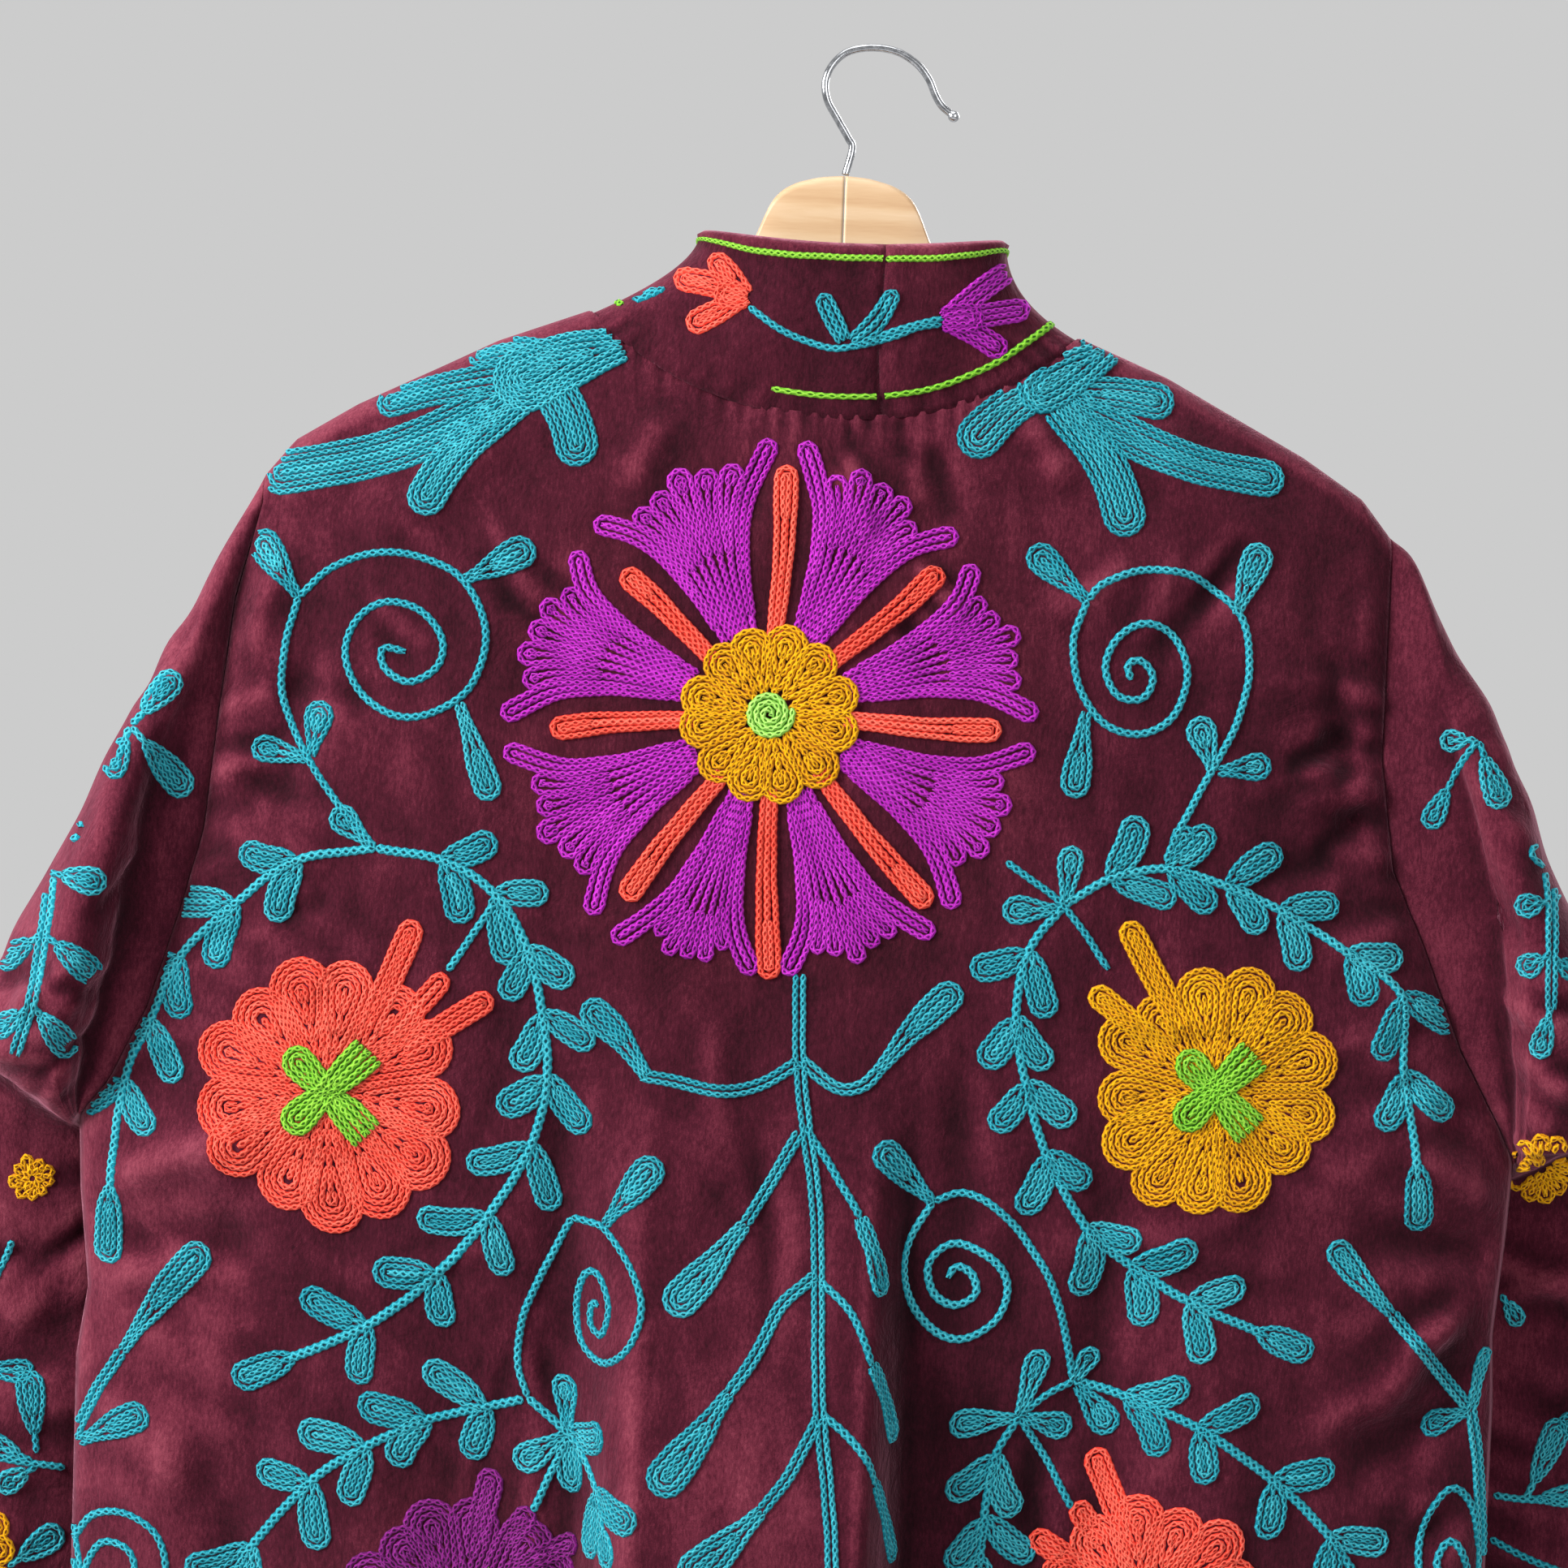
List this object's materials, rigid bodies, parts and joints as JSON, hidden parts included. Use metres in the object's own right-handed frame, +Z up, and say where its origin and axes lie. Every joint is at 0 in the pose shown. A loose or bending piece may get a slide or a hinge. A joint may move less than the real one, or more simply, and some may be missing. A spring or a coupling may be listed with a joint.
{
  "type": "embroidered velvet jacket on a wooden hanger",
  "caption": "Open-front velvet jacket with a stand collar and long sleeves, hanging on a wooden hanger with a wire hook.",
  "frame": {"origin": "the seat of the hanger's hook: the inside top of its bend", "axes": "+Z up; +Y the back of the jacket and -Y its open front; +X the wearer's left"},
  "size_m": [0.82, 0.1405, 0.9213],
  "materials": {
    "velvet": "burgundy velvet with chain-stitch embroidery",
    "wood": "satin, pale",
    "wire": "polished"
  },
  "bodies": {
    "root": {"back": "velvet", "front_left": "velvet", "front_right": "velvet", "collar_left": "velvet", "collar_right": "velvet", "sleeve_left": "velvet", "sleeve_right": "velvet", "hanger_arm_left": "wood", "hanger_arm_right": "wood", "hook": "wire"}
  },
  "joints": []
}
